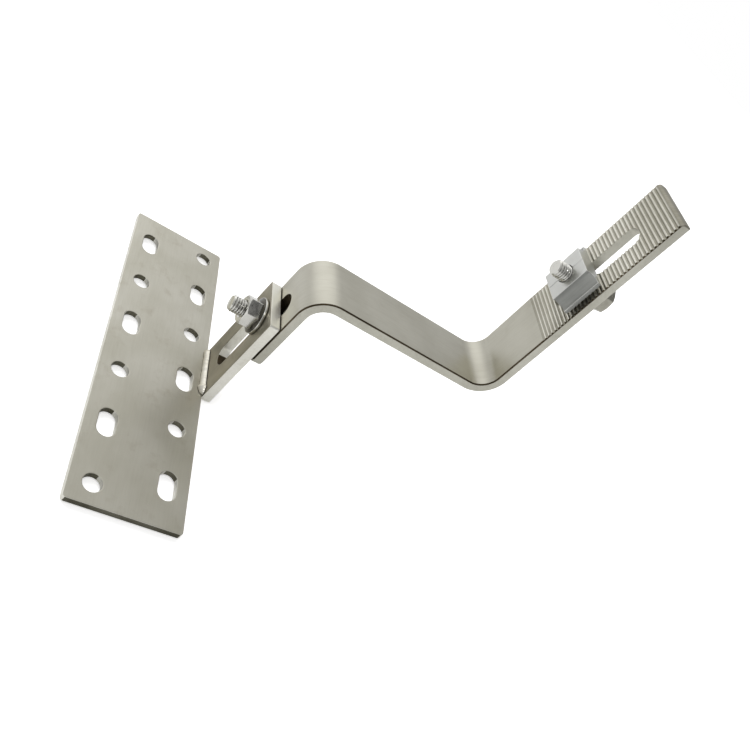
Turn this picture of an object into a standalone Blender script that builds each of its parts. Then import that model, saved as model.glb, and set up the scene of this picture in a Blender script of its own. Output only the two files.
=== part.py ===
"""Stainless steel roof hook for a solar rail: plate, slotted bracket, bent arm, clamp block.

The origin is the middle of the base plate's underside. The plate lies in the XY plane with
its long side along Y. The bracket stands at the plate's +X edge and the arm runs on to +X.
"""

import math

import bmesh
import bpy
from mathutils import Matrix

SEAM = 0.0003

PLATE_LENGTH = 0.180
PLATE_WIDTH = 0.0495
PLATE_THICKNESS = 0.003
PLATE_CORNER_RADIUS = 0.0015
PLATE_EDGE_ROUNDING = 0.0004
SCREW_HOLE_WIDTH = 0.008
SCREW_SLOT_LENGTH = 0.014
SCREW_HOLE_MARGIN = 0.00975
SCREW_FAR_MARGIN = 0.02025
SCREW_ROWS = 6

BAR_WIDTH = 0.030
BAR_THICKNESS = 0.005
CLAMP_SLOT_WIDTH = 0.011

BRACKET_HEIGHT = 0.059
BRACKET_CORNER_RADIUS = 0.001
BRACKET_SLOT_FOOT_MARGIN = 0.0134
BRACKET_SLOT_HEAD_MARGIN = 0.005
BOLT_BELOW_BRACKET_SLOT_HEAD = 0.0055

ARM_RISE = 0.046
ARM_REACH = 0.106
ARM_TOP_LENGTH = 0.117
ARM_TOP_LEAN = math.radians(3.3)
ARM_BEND_RADIUS = 0.009
ARM_FOOT_CORNER_RADIUS = 0.004
ARM_TIP_ROUNDING = 0.002
ARM_SLOT_FOOT_MARGIN = 0.007
ARM_SLOT_LENGTH = 0.0257
BOLT_ABOVE_ARM_SLOT_FOOT = 0.0075

RAIL_SLOT_WIDTH = 0.009
RAIL_SLOT_TIP_MARGIN = 0.017
RAIL_SLOT_LENGTH = 0.0485
CLAMP_ABOVE_RAIL_SLOT_FOOT = 0.0145

TOOTH_PITCH = 0.002
TOOTH_DEPTH = 0.0005
TOOTH_CREST = 0.0006
TOOTH_ROOT = 0.0004
FIRST_GROOVE_FROM_TIP = 0.003
ARM_GROOVES = 38
FADED_GROOVES = 4

BOLT_DIAMETER = 0.008
BOLT_END_CHAMFER = 0.0007
BOLT_END_DIMPLE = 0.0004
BOLT_DIMPLE_SHARE = 0.5
BRACKET_BOLT_LENGTH = 0.025
CLAMP_BOLT_LENGTH = 0.025
CLAMP_HEAD_BACKED_OFF = 0.0044
HEX_ACROSS_FLATS = 0.013
HEX_HEIGHT = 0.008
HEX_CROWN_ANGLE = math.radians(30.0)
HEX_CROWN_SHARE = 0.95
FLANGE_DIAMETER = 0.0179
FLANGE_RIM = 0.0011
FLANGE_SLOPE = math.radians(22.0)
FLANGE_TOP_SHARE = 0.5

DOME_DIAMETER = 0.020
DOME_HEIGHT = 0.0046
DOME_RIM = 0.0007
NECK_WIDTH = 0.0083
NECK_DEPTH = 0.0044

BLOCK_LENGTH = 0.020
BLOCK_HEIGHT = 0.0076
BLOCK_LIFT = 0.0013
BLOCK_TOP_WIDTH = 0.016
BLOCK_FOOT_WIDTH = 0.026
BLOCK_FOOT_THICKNESS = 0.002
BLOCK_FLARE_HEIGHT = 0.0044
BLOCK_EDGE_ROUNDING = 0.0005
BLOCK_GROOVE_WIDTH = 0.0007
BLOCK_GROOVE_DEPTH = 0.0004

WELD_LEG_ON_PLATE = 0.0019
WELD_LEG_ON_BRACKET = 0.0021
WELD_BULGE = 1.6
WELD_RIPPLE_PITCH = 0.0017
WELD_RIPPLE = 0.12
WELD_BLOB_LENGTH = 0.0025
WELD_BLOB_SWELL = 0.45
WELD_END_TAPER = 0.0012
WELD_END_SHARE = 0.35

HALF_HOLE_STEPS = 16
BEND_STEPS = 14
CORNER_STEPS = 4
FLARE_STEPS = 6
TURN_STEPS = 48
DOME_STEPS = 6
WELD_STEP = 0.0004
WELD_ARC_STEPS = 5
CUT_MARGIN = 0.002
ROUNDED_EDGE_ANGLE = math.radians(50.0)
SHARP_EDGE_ANGLE = math.radians(35.0)

PLATE_EDGE = PLATE_WIDTH / 2
BRACKET_INNER = PLATE_EDGE + SEAM
BRACKET_OUTER = BRACKET_INNER + BAR_THICKNESS
ARM_INNER = BRACKET_OUTER + SEAM
ARM_OUTER = ARM_INNER + BAR_THICKNESS
BRACKET_SLOT_HEAD = BRACKET_HEIGHT - BRACKET_SLOT_HEAD_MARGIN
BRACKET_BOLT_HEIGHT = BRACKET_SLOT_HEAD - BOLT_BELOW_BRACKET_SLOT_HEAD
ARM_FOOT = BRACKET_BOLT_HEIGHT - BOLT_ABOVE_ARM_SLOT_FOOT - ARM_SLOT_FOOT_MARGIN
CLAMP_FROM_TIP = RAIL_SLOT_TIP_MARGIN + RAIL_SLOT_LENGTH - CLAMP_ABOVE_RAIL_SLOT_FOOT

ACROSS_X = (math.pi / 2, 0.0, math.pi / 2)
ACROSS_Y = (math.pi / 2, 0.0, 0.0)
TOWARDS_PLUS_X = (0.0, math.pi / 2, 0.0)
TOWARDS_MINUS_X = (0.0, -math.pi / 2, 0.0)


def clear_scene():
    for obj in list(bpy.data.objects):
        bpy.data.objects.remove(obj, do_unlink=True)


def new_collection(name):
    collection = bpy.data.collections.new(name)
    bpy.context.scene.collection.children.link(collection)
    return collection


def metal(name, color, roughness):
    material = bpy.data.materials.new(name)
    material.use_nodes = True
    shader = material.node_tree.nodes["Principled BSDF"]
    shader.inputs["Base Color"].default_value = (*color, 1.0)
    shader.inputs["Metallic"].default_value = 1.0
    shader.inputs["Roughness"].default_value = roughness
    return material


def arc(center, radius, start, end, steps):
    """Points on an arc round center, both ends included; angles in radians."""
    points = []
    for step in range(steps + 1):
        angle = start + (end - start) * step / steps
        points.append((center[0] + radius * math.cos(angle), center[1] + radius * math.sin(angle)))
    return points


def rounded_rectangle(width, height, radius):
    """Outline centred on the origin, width along the first axis."""
    across = width / 2 - radius
    along = height / 2 - radius
    points = []
    for turn, x, y in ((0, across, along), (1, -across, along), (2, -across, -along), (3, across, -along)):
        start = turn * math.pi / 2
        points += arc((x, y), radius, start, start + math.pi / 2, CORNER_STEPS)
    return points


def stadium(width, length):
    """Slot outline centred on the origin, length along the second axis; round if they are equal."""
    radius = width / 2
    straight = length / 2 - radius
    head = arc((0.0, straight), radius, 0.0, math.pi, HALF_HOLE_STEPS)
    foot = arc((0.0, -straight), radius, math.pi, 2 * math.pi, HALF_HOLE_STEPS)
    return head + foot if straight > 0.0 else head[:-1] + foot[:-1]


def place(obj, collection, location, rotation, parent):
    collection.objects.link(obj)
    obj.parent = parent
    obj.location = location
    obj.rotation_euler = rotation
    return obj


def extruded(name, outline, depth, collection, location=(0, 0, 0), rotation=(0, 0, 0), parent=None):
    """Solid between two copies of a flat outline, half of depth to each side of its plane."""
    curve = bpy.data.curves.new(name, "CURVE")
    curve.dimensions = "2D"
    curve.fill_mode = "BOTH"
    curve.extrude = depth / 2
    spline = curve.splines.new("POLY")
    spline.points.add(len(outline) - 1)
    for point, (x, y) in zip(spline.points, outline):
        point.co = (x, y, 0.0, 1.0)
    spline.use_cyclic_u = True
    drawn = bpy.data.objects.new(name + "_outline", curve)
    bpy.context.scene.collection.objects.link(drawn)
    mesh = bpy.data.meshes.new_from_object(drawn.evaluated_get(bpy.context.evaluated_depsgraph_get()))
    bpy.data.objects.remove(drawn, do_unlink=True)
    solid = bmesh.new()
    solid.from_mesh(mesh)
    bmesh.ops.remove_doubles(solid, verts=solid.verts, dist=1e-7)
    bmesh.ops.dissolve_limit(solid, angle_limit=1e-4, verts=solid.verts, edges=solid.edges)
    bmesh.ops.recalc_face_normals(solid, faces=solid.faces)
    solid.to_mesh(mesh)
    solid.free()
    return place(bpy.data.objects.new(name, mesh), collection, location, rotation, parent)


def turned(name, profile, collection, location=(0, 0, 0), rotation=(0, 0, 0), parent=None):
    """Solid of revolution round local Z; the profile of (radius, height) runs top to bottom."""
    mesh = bpy.data.meshes.new(name)
    points = [(radius, 0.0, height) for radius, height in profile]
    mesh.from_pydata(points, [(i, i + 1) for i in range(len(points) - 1)], [])
    obj = place(bpy.data.objects.new(name, mesh), collection, location, rotation, parent)
    screw = obj.modifiers.new("Turn", "SCREW")
    screw.axis = "Z"
    screw.steps = TURN_STEPS
    screw.render_steps = TURN_STEPS
    screw.use_merge_vertices = True
    screw.merge_threshold = 1e-6
    return obj


def combine(obj, other, operation):
    other.display_type = "WIRE"
    other.hide_render = True
    modifier = obj.modifiers.new(operation.title() + " " + other.name, "BOOLEAN")
    modifier.operation = operation
    modifier.solver = "EXACT"
    modifier.object = other


def round_edges(obj, width):
    bevel = obj.modifiers.new("Rounded edges", "BEVEL")
    bevel.width = width
    bevel.segments = 1
    bevel.limit_method = "ANGLE"
    bevel.angle_limit = ROUNDED_EDGE_ANGLE


def finish(obj, material):
    """Applies the modifiers, so that round faces can be shaded smooth between sharp edges."""
    bpy.context.view_layer.update()
    mesh = bpy.data.meshes.new_from_object(obj.evaluated_get(bpy.context.evaluated_depsgraph_get()))
    obj.modifiers.clear()
    obj.data = mesh
    mesh.name = obj.name
    mesh.shade_smooth()
    mesh.set_sharp_from_angle(angle=SHARP_EDGE_ANGLE)
    mesh.materials.clear()
    mesh.materials.append(material)


def empty(name, collection, location, rotation=(0, 0, 0), parent=None):
    holder = bpy.data.objects.new(name, None)
    holder.empty_display_size = 0.01
    return place(holder, collection, location, rotation, parent)


def screw_holes():
    """Place and length of each screw hole: two columns, round holes and slots by turns.

    One column starts near the plate's +Y end and the other, turned about, near its -Y end.
    """
    column = PLATE_WIDTH / 2 - SCREW_HOLE_MARGIN
    first = PLATE_LENGTH / 2 - SCREW_HOLE_MARGIN
    pitch = (first + PLATE_LENGTH / 2 - SCREW_FAR_MARGIN) / (SCREW_ROWS - 1)
    holes = []
    for side in (1, -1):
        for row in range(SCREW_ROWS):
            length = SCREW_HOLE_WIDTH if row % 2 == 0 else SCREW_SLOT_LENGTH
            holes.append((side * column, side * (first - row * pitch), length))
    return holes


def base_plate(parts, cutters):
    outline = rounded_rectangle(PLATE_WIDTH, PLATE_LENGTH, PLATE_CORNER_RADIUS)
    plate = extruded("base_plate", outline, PLATE_THICKNESS, parts, (0, 0, PLATE_THICKNESS / 2))
    for number, (x, y, length) in enumerate(screw_holes()):
        hole = extruded(f"screw_hole_{number}", stadium(SCREW_HOLE_WIDTH, length),
                        PLATE_THICKNESS + CUT_MARGIN, cutters, (x, y, PLATE_THICKNESS / 2))
        combine(plate, hole, "DIFFERENCE")
    round_edges(plate, PLATE_EDGE_ROUNDING)
    return plate


def upright_bracket(parts, cutters):
    outline = rounded_rectangle(BAR_WIDTH, BRACKET_HEIGHT, BRACKET_CORNER_RADIUS)
    middle = BRACKET_INNER + BAR_THICKNESS / 2
    bracket = extruded("upright_bracket", outline, BAR_THICKNESS, parts,
                       (middle, 0, BRACKET_HEIGHT / 2), ACROSS_X)
    slot_length = BRACKET_SLOT_HEAD - BRACKET_SLOT_FOOT_MARGIN
    slot = extruded("bracket_slot", stadium(CLAMP_SLOT_WIDTH, slot_length), BAR_THICKNESS + CUT_MARGIN,
                    cutters, (middle, 0, BRACKET_SLOT_HEAD - slot_length / 2), ACROSS_X)
    combine(bracket, slot, "DIFFERENCE")
    return bracket


def weld_size(y):
    """Size of the bead's section at y as a share of its legs: ripples, a blob and tapered ends."""
    ripple = 1.0 + WELD_RIPPLE * abs(math.sin(math.pi * y / WELD_RIPPLE_PITCH))
    blob_middle = WELD_BLOB_LENGTH - BAR_WIDTH / 2
    blob = 1.0 + WELD_BLOB_SWELL * math.exp(-((y - blob_middle) / WELD_BLOB_LENGTH) ** 2)
    from_end = min(1.0, (BAR_WIDTH / 2 - abs(y)) / WELD_END_TAPER)
    taper = WELD_END_SHARE + (1.0 - WELD_END_SHARE) * math.sqrt(1.0 - (1.0 - from_end) ** 2)
    return ripple * blob * taper


def weld_bead(parts):
    """Fillet weld in the corner of the plate's top and the bracket, lofted along the bracket."""
    corner_x = BRACKET_INNER - SEAM
    corner_z = PLATE_THICKNESS + SEAM
    count = round(BAR_WIDTH / WELD_STEP)
    loft = bmesh.new()
    rings = []
    for step in range(count + 1):
        y = -BAR_WIDTH / 2 + BAR_WIDTH * step / count
        size = weld_size(y)
        ring = [loft.verts.new((corner_x, y, corner_z))]
        for part in range(WELD_ARC_STEPS + 1):
            angle = math.pi / 2 * part / WELD_ARC_STEPS
            x = corner_x - WELD_LEG_ON_PLATE * size * math.cos(angle) ** WELD_BULGE
            z = corner_z + WELD_LEG_ON_BRACKET * size * math.sin(angle) ** WELD_BULGE
            ring.append(loft.verts.new((x, y, z)))
        rings.append(ring)
    for ring, following in zip(rings, rings[1:]):
        for i in range(len(ring)):
            j = (i + 1) % len(ring)
            loft.faces.new((ring[i], ring[j], following[j], following[i]))
    loft.faces.new(rings[0])
    loft.faces.new(rings[-1][::-1])
    bmesh.ops.recalc_face_normals(loft, faces=loft.faces)
    mesh = bpy.data.meshes.new("weld_bead")
    loft.to_mesh(mesh)
    loft.free()
    return place(bpy.data.objects.new("weld_bead", mesh), parts, (0, 0, 0), (0, 0, 0), None)


def groove(center, depth):
    """Four points of one groove across the serrations, as (inwards, along), along rising."""
    mouth = (TOOTH_PITCH - TOOTH_CREST) / 2
    root = TOOTH_ROOT / 2
    return [(0.0, center - mouth), (depth, center - root), (depth, center + root), (0.0, center + mouth)]


def arm_top():
    """Foot and tip of the arm's leaning end on its inner face, from the arm's foot, as (x, z)."""
    foot = (ARM_REACH - BAR_THICKNESS, ARM_RISE + BAR_THICKNESS)
    back = ARM_TOP_LENGTH * math.sin(ARM_TOP_LEAN)
    up = ARM_TOP_LENGTH * math.cos(ARM_TOP_LEAN)
    return foot, (foot[0] - back, foot[1] + up)


def arm_outline():
    """Side view of the bar from the foot of its inner face: up, over, up to the tip and back."""
    foot, tip = arm_top()
    lean_sin = math.sin(ARM_TOP_LEAN)
    lean_cos = math.cos(ARM_TOP_LEAN)
    outer_radius = ARM_BEND_RADIUS + BAR_THICKNESS
    low_bend = (outer_radius, ARM_RISE - ARM_BEND_RADIUS)
    high_bend = (foot[0] - ARM_BEND_RADIUS * (1.0 + lean_sin) / lean_cos, foot[1] + ARM_BEND_RADIUS)

    def on_top(inwards, along):
        return (tip[0] + inwards * lean_cos - along * lean_sin,
                tip[1] + inwards * lean_sin + along * lean_cos)

    points = [(0.0, 0.0)]
    points += arc(low_bend, outer_radius, math.pi, math.pi / 2, BEND_STEPS)
    points += arc(high_bend, ARM_BEND_RADIUS, -math.pi / 2, ARM_TOP_LEAN, BEND_STEPS)
    for number in reversed(range(ARM_GROOVES)):
        fade = min(1.0, (ARM_GROOVES - number) / (FADED_GROOVES + 1))
        center = -FIRST_GROOVE_FROM_TIP - number * TOOTH_PITCH
        points += [on_top(*point) for point in groove(center, TOOTH_DEPTH * fade)]
    rounding_center = (ARM_TIP_ROUNDING, -ARM_TIP_ROUNDING)
    rounding = arc(rounding_center, ARM_TIP_ROUNDING, math.pi, math.pi / 2, CORNER_STEPS)
    points += [on_top(*point) for point in rounding]
    points.append(on_top(BAR_THICKNESS, 0.0))
    points += arc(high_bend, outer_radius, ARM_TOP_LEAN, -math.pi / 2, BEND_STEPS)
    points += arc(low_bend, ARM_BEND_RADIUS, math.pi / 2, math.pi, BEND_STEPS)
    points.append((BAR_THICKNESS, 0.0))
    return points


def foot_corners_outline():
    """Front view of the arm with its two lower corners rounded, from its foot to past its tip."""
    half = BAR_WIDTH / 2
    radius = ARM_FOOT_CORNER_RADIUS
    top = ARM_RISE + ARM_TOP_LENGTH + 2 * BAR_THICKNESS
    points = arc((radius - half, radius), radius, math.pi, 1.5 * math.pi, CORNER_STEPS)
    points += arc((half - radius, radius), radius, 1.5 * math.pi, 2 * math.pi, CORNER_STEPS)
    return points + [(half, top), (-half, top)]


def hook_arm(parts, cutters, arm_frame, top_frame):
    arm = extruded("hook_arm", arm_outline(), BAR_WIDTH, parts, (0, 0, 0), ACROSS_Y, arm_frame)
    corners = extruded("arm_foot_corners", foot_corners_outline(), 2 * (ARM_REACH + CUT_MARGIN),
                       cutters, (0, 0, 0), ACROSS_X, arm_frame)
    combine(arm, corners, "INTERSECT")
    slot_middle = ARM_SLOT_FOOT_MARGIN + ARM_SLOT_LENGTH / 2
    foot_slot = extruded("arm_slot", stadium(CLAMP_SLOT_WIDTH, ARM_SLOT_LENGTH), BAR_THICKNESS + CUT_MARGIN,
                         cutters, (BAR_THICKNESS / 2, 0, slot_middle), ACROSS_X, arm_frame)
    combine(arm, foot_slot, "DIFFERENCE")
    rail_middle = RAIL_SLOT_TIP_MARGIN + RAIL_SLOT_LENGTH / 2
    rail_slot = extruded("rail_slot", stadium(RAIL_SLOT_WIDTH, RAIL_SLOT_LENGTH), BAR_THICKNESS + CUT_MARGIN,
                         cutters, (BAR_THICKNESS / 2, 0, -rail_middle), ACROSS_X, top_frame)
    combine(arm, rail_slot, "DIFFERENCE")
    return arm


def hexagon(name, collection, location, rotation, parent):
    """Hexagonal prism on local Z from half the flange's rim to the crown, corners on local X."""
    low = FLANGE_RIM / 2
    prism = bmesh.new()
    lift = Matrix.Translation((0, 0, (low + HEX_HEIGHT) / 2)) @ Matrix.Rotation(math.pi / 2, 4, "Z")
    corner = HEX_ACROSS_FLATS / math.sqrt(3)
    bmesh.ops.create_cone(prism, cap_ends=True, segments=6, radius1=corner, radius2=corner,
                          depth=HEX_HEIGHT - low, matrix=lift)
    mesh = bpy.data.meshes.new(name)
    prism.to_mesh(mesh)
    prism.free()
    return place(bpy.data.objects.new(name, mesh), collection, location, rotation, parent)


def hex_with_flange(name, parts, cutters, location, rotation, parent):
    """Crowned hexagon on a sloping round flange, its bearing face at local Z = 0."""
    where = (location, rotation, parent)
    body = hexagon(name, parts, *where)
    crown = HEX_CROWN_SHARE * HEX_ACROSS_FLATS / 2
    beyond = HEX_ACROSS_FLATS
    drop = (beyond - crown) * math.tan(HEX_CROWN_ANGLE)
    crown_cone = turned(name + "_crown", [(0.0, HEX_HEIGHT), (crown, HEX_HEIGHT),
                                          (beyond, HEX_HEIGHT - drop), (beyond, -CUT_MARGIN),
                                          (0.0, -CUT_MARGIN)], cutters, *where)
    combine(body, crown_cone, "INTERSECT")
    rim = FLANGE_DIAMETER / 2
    inner = crown * FLANGE_TOP_SHARE
    shoulder = FLANGE_RIM + (rim - inner) * math.tan(FLANGE_SLOPE)
    flange = turned(name + "_flange", [(0.0, shoulder), (inner, shoulder), (rim, FLANGE_RIM),
                                       (rim, 0.0), (0.0, 0.0)], cutters, *where)
    combine(body, flange, "UNION")
    return body


def shank_side(top, length):
    """Profile of a shank from top down to its chamfered, dimpled end, length below the head."""
    radius = BOLT_DIAMETER / 2
    return [(radius, top), (radius, BOLT_END_CHAMFER - length), (radius - BOLT_END_CHAMFER, -length),
            (radius * BOLT_DIMPLE_SHARE, -length), (0.0, BOLT_END_DIMPLE - length)]


def flange_bolt(name, length, parts, cutters, location, parent):
    """Bolt with its head towards +X, its bearing face at location and its shank towards -X."""
    bolt = hex_with_flange(name, parts, cutters, location, TOWARDS_PLUS_X, parent)
    root = FLANGE_RIM / 2
    shank = turned(name + "_shank", [(0.0, root)] + shank_side(root, length),
                   cutters, location, TOWARDS_PLUS_X, parent)
    combine(bolt, shank, "UNION")
    return bolt


def carriage_bolt(name, length, parts, cutters, location, parent):
    """Bolt with a low domed head towards +X, its bearing face at location, and a square neck."""
    rim = DOME_DIAMETER / 2
    rise = DOME_HEIGHT - DOME_RIM
    sphere = (rim ** 2 + rise ** 2) / (2 * rise)
    center = (0.0, DOME_HEIGHT - sphere)
    dome = arc(center, sphere, math.pi / 2, math.acos(rim / sphere), DOME_STEPS)
    profile = [(0.0, DOME_HEIGHT)] + dome[1:] + [(rim, 0.0)] + shank_side(0.0, length)
    bolt = turned(name, profile, parts, location, TOWARDS_PLUS_X, parent)
    half = NECK_WIDTH / 2
    square = [(-half, -half), (half, -half), (half, half), (-half, half)]
    reach = NECK_DEPTH + DOME_RIM
    neck = extruded(name + "_neck", square, reach, cutters,
                    (location[0] - NECK_DEPTH + reach / 2, 0, 0), TOWARDS_PLUS_X, parent)
    combine(bolt, neck, "UNION")
    return bolt


def bored(obj, cutters, location, rotation, parent, start, end):
    """Cuts a clearance bore for the bolt along local Z of the given place, from start to end."""
    radius = BOLT_DIAMETER / 2 + SEAM
    bore = turned(obj.name + "_bore", [(0.0, end), (radius, end), (radius, start), (0.0, start)],
                  cutters, location, rotation, parent)
    combine(obj, bore, "DIFFERENCE")


def bracket_nut(parts, cutters, fastener_frame):
    location = (BRACKET_INNER - SEAM, 0, 0)
    nut = hex_with_flange("bracket_nut", parts, cutters, location, TOWARDS_MINUS_X, fastener_frame)
    bored(nut, cutters, location, TOWARDS_MINUS_X, fastener_frame, -CUT_MARGIN, HEX_HEIGHT + CUT_MARGIN)
    return nut


def block_end_outline():
    """End view of the clamp block, width by height: scribed top, straight sides, flared feet.

    It runs on below the underside, where the side view's grooves cut it off.
    """
    rounding = BLOCK_EDGE_ROUNDING
    foot_edge = BLOCK_FOOT_WIDTH / 2 - rounding
    top_edge = BLOCK_TOP_WIDTH / 2
    flare_top = BLOCK_FOOT_THICKNESS + BLOCK_FLARE_HEIGHT
    half = [(BLOCK_GROOVE_WIDTH / 2, BLOCK_HEIGHT)]
    half += arc((top_edge - rounding, BLOCK_HEIGHT - rounding), rounding, math.pi / 2, 0.0, CORNER_STEPS)
    for step in range(FLARE_STEPS):
        angle = math.pi / 2 * step / FLARE_STEPS
        half.append((foot_edge - (foot_edge - top_edge) * math.cos(angle),
                     flare_top - BLOCK_FLARE_HEIGHT * math.sin(angle)))
    half += arc((foot_edge, BLOCK_FOOT_THICKNESS - rounding), rounding, math.pi / 2, 0.0, CORNER_STEPS)
    half.append((BLOCK_FOOT_WIDTH / 2, -CUT_MARGIN))
    mirrored = [(-x, y) for x, y in reversed(half)]
    return [(0.0, BLOCK_HEIGHT - BLOCK_GROOVE_DEPTH)] + half + mirrored


def block_side_outline():
    """Side view of the clamp block, length by height, with grooves across its underside."""
    grooves = round(BLOCK_LENGTH / TOOTH_PITCH)
    points = []
    for number in range(grooves):
        center = (number - (grooves - 1) / 2) * TOOTH_PITCH
        points += [(along, up) for up, along in groove(center, TOOTH_DEPTH)]
    half = BLOCK_LENGTH / 2
    top = BLOCK_HEIGHT + CUT_MARGIN
    return [(-half, 0.0)] + points + [(half, 0.0), (half, top), (-half, top)]


def rail_clamp(parts, cutters, clamp_frame):
    """Aluminium block across the arm's serrated face, backed off it by the lift.

    The bolt's head is backed off the arm's other face too, so that the clamp can slide.
    """
    underside = (-BLOCK_LIFT, 0, 0)
    block = extruded("rail_clamp", block_end_outline(), BLOCK_LENGTH + CUT_MARGIN, parts,
                     underside, (0, 0, math.pi / 2), clamp_frame)
    teeth = extruded("clamp_teeth", block_side_outline(), BLOCK_FOOT_WIDTH + CUT_MARGIN, cutters,
                     underside, (math.pi / 2, -math.pi / 2, 0), clamp_frame)
    combine(block, teeth, "INTERSECT")
    bored(block, cutters, underside, TOWARDS_MINUS_X, clamp_frame, -CUT_MARGIN, BLOCK_HEIGHT + CUT_MARGIN)
    return block


def main():
    clear_scene()
    parts = new_collection("solar_roof_hook")
    cutters = new_collection("cutters")

    fastener_frame = empty("bracket_fastener_slide", parts, (0, 0, BRACKET_BOLT_HEIGHT))
    arm_frame = empty("arm_slide", parts, (ARM_INNER, 0, ARM_FOOT), (0, 0, 0))
    tip = arm_top()[1]
    top_frame = empty("arm_tip", parts, (tip[0], 0, tip[1]), (0, -ARM_TOP_LEAN, 0), arm_frame)
    clamp_frame = empty("clamp_slide", parts, (0, 0, -CLAMP_FROM_TIP), (0, 0, 0), top_frame)

    sheet_steel = metal("stainless_sheet", (0.42, 0.41, 0.37), 0.38)
    bar_steel = metal("stainless_bar", (0.40, 0.39, 0.35), 0.34)
    bright_weld = metal("weld_metal", (0.62, 0.61, 0.58), 0.25)
    bright_steel = metal("fastener_steel", (0.70, 0.70, 0.70), 0.16)
    aluminium = metal("clamp_aluminium", (0.58, 0.58, 0.57), 0.32)

    finish(base_plate(parts, cutters), sheet_steel)
    finish(upright_bracket(parts, cutters), bar_steel)
    finish(weld_bead(parts), bright_weld)
    finish(hook_arm(parts, cutters, arm_frame, top_frame), bar_steel)
    bracket_head = (ARM_OUTER + SEAM, 0, 0)
    finish(carriage_bolt("bracket_bolt", BRACKET_BOLT_LENGTH, parts, cutters, bracket_head, fastener_frame),
           bright_steel)
    finish(bracket_nut(parts, cutters, fastener_frame), bright_steel)
    finish(rail_clamp(parts, cutters, clamp_frame), aluminium)
    clamp_head = (BAR_THICKNESS + CLAMP_HEAD_BACKED_OFF, 0, 0)
    finish(flange_bolt("clamp_bolt", CLAMP_BOLT_LENGTH, parts, cutters, clamp_head, clamp_frame),
           bright_steel)


main()
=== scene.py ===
import math
import random

import bmesh
import bpy
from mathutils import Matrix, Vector


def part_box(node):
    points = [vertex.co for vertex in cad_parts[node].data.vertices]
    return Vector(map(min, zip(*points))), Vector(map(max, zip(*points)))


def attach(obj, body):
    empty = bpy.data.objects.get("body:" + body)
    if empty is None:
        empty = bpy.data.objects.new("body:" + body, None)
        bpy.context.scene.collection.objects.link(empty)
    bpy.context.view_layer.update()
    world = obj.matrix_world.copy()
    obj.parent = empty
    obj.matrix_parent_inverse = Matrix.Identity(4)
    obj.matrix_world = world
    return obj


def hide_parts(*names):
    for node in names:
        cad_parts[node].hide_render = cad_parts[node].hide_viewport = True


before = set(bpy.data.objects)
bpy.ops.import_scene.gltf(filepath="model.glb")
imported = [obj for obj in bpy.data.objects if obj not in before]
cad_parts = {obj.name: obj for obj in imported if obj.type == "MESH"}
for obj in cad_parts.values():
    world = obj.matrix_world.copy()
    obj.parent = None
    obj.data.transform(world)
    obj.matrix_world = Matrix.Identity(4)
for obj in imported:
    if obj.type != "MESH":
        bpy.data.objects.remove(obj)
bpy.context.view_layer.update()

print("frame loaded:", sorted(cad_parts))

squarely = 0.9         # a face that looks this much along an axis faces it
edgeOn = 0.5           # one that looks less than this along an axis stands edge-on to it
nearly = 0.99          # the share of a radius that counts as the whole
cutterLength = 3       # how many thicknesses a cutter is long
roundSides = {"slot": 64, "bore": 72, "shank": 64, "flange": 96}
acrossX = (math.pi / 2, 0, math.pi / 2)      # lays an upright cutter along X, its long side up


# Working with one piece at a time

def pick(piece):
    if bpy.context.object and bpy.context.object.mode != "OBJECT":
        bpy.ops.object.mode_set(mode="OBJECT")
    bpy.ops.object.select_all(action="DESELECT")
    piece.select_set(True)
    bpy.context.view_layer.objects.active = piece


def placed(piece):
    # writes the piece's place, turn and scale into its mesh
    pick(piece)
    bpy.ops.object.transform_apply(location=True, rotation=True, scale=True)
    return piece


def newest(name):
    piece = bpy.context.object
    piece.name = name
    piece.data.name = name
    return placed(piece)


def settle(piece, place, turn):
    # puts a piece made upright at the origin into its place
    piece.rotation_euler = turn
    piece.location = place
    placed(piece)


def openMesh(piece, kind):
    # edit mode with nothing selected
    pick(piece)
    bpy.ops.object.mode_set(mode="EDIT")
    bpy.ops.mesh.select_mode(type=kind)
    bpy.ops.mesh.select_all(action="DESELECT")
    return bmesh.from_edit_mesh(piece.data)


def editPoints(piece, test):
    # edit mode with only the points selected whose place passes the test
    mesh = openMesh(piece, "VERT")
    for point in mesh.verts:
        point.select = test(point.co)
    mesh.select_flush(True)
    bmesh.update_edit_mesh(piece.data)


def editEdges(piece, test):
    # the same for edges, by the places of their two ends
    mesh = openMesh(piece, "EDGE")
    for edge in mesh.edges:
        edge.select = test(edge.verts[0].co, edge.verts[1].co)
    mesh.select_flush_mode()
    bmesh.update_edit_mesh(piece.data)


def editFaces(piece, test):
    # the same for faces, by their middle and the way they look
    mesh = openMesh(piece, "FACE")
    mesh.normal_update()
    for face in mesh.faces:
        face.select = test(face.calc_center_median(), face.normal)
    mesh.select_flush_mode()
    bmesh.update_edit_mesh(piece.data)


def leaveEdit():
    bpy.ops.object.mode_set(mode="OBJECT")


def bevelEdges(piece, test, width, segments):
    editEdges(piece, test)
    bpy.ops.mesh.bevel(offset=width, segments=segments)
    leaveEdit()


def applied(piece, kind, **settings):
    pick(piece)
    modifier = piece.modifiers.new(kind.title(), kind)
    for name, value in settings.items():
        setattr(modifier, name, value)
    bpy.ops.object.modifier_apply(modifier=modifier.name)


def cut(piece, cutter, operation="DIFFERENCE"):
    applied(piece, "BOOLEAN", operation=operation, object=cutter, solver="EXACT")
    bpy.data.objects.remove(cutter)


def softenEdges(piece, width, segments=3, angle=35):
    applied(piece, "BEVEL", width=width, segments=segments, limit_method="ANGLE",
            angle_limit=math.radians(angle), use_clamp_overlap=False, miter_outer="MITER_ARC")


def smoothed(piece, angle=32):
    pick(piece)
    bpy.ops.object.shade_smooth_by_angle(angle=math.radians(angle))
    applied(piece, "WEIGHTED_NORMAL", mode="FACE_AREA", keep_sharp=True)


def joined(first, *others):
    pick(first)
    for other in others:
        other.select_set(True)
    bpy.ops.object.join()
    return first


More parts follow.
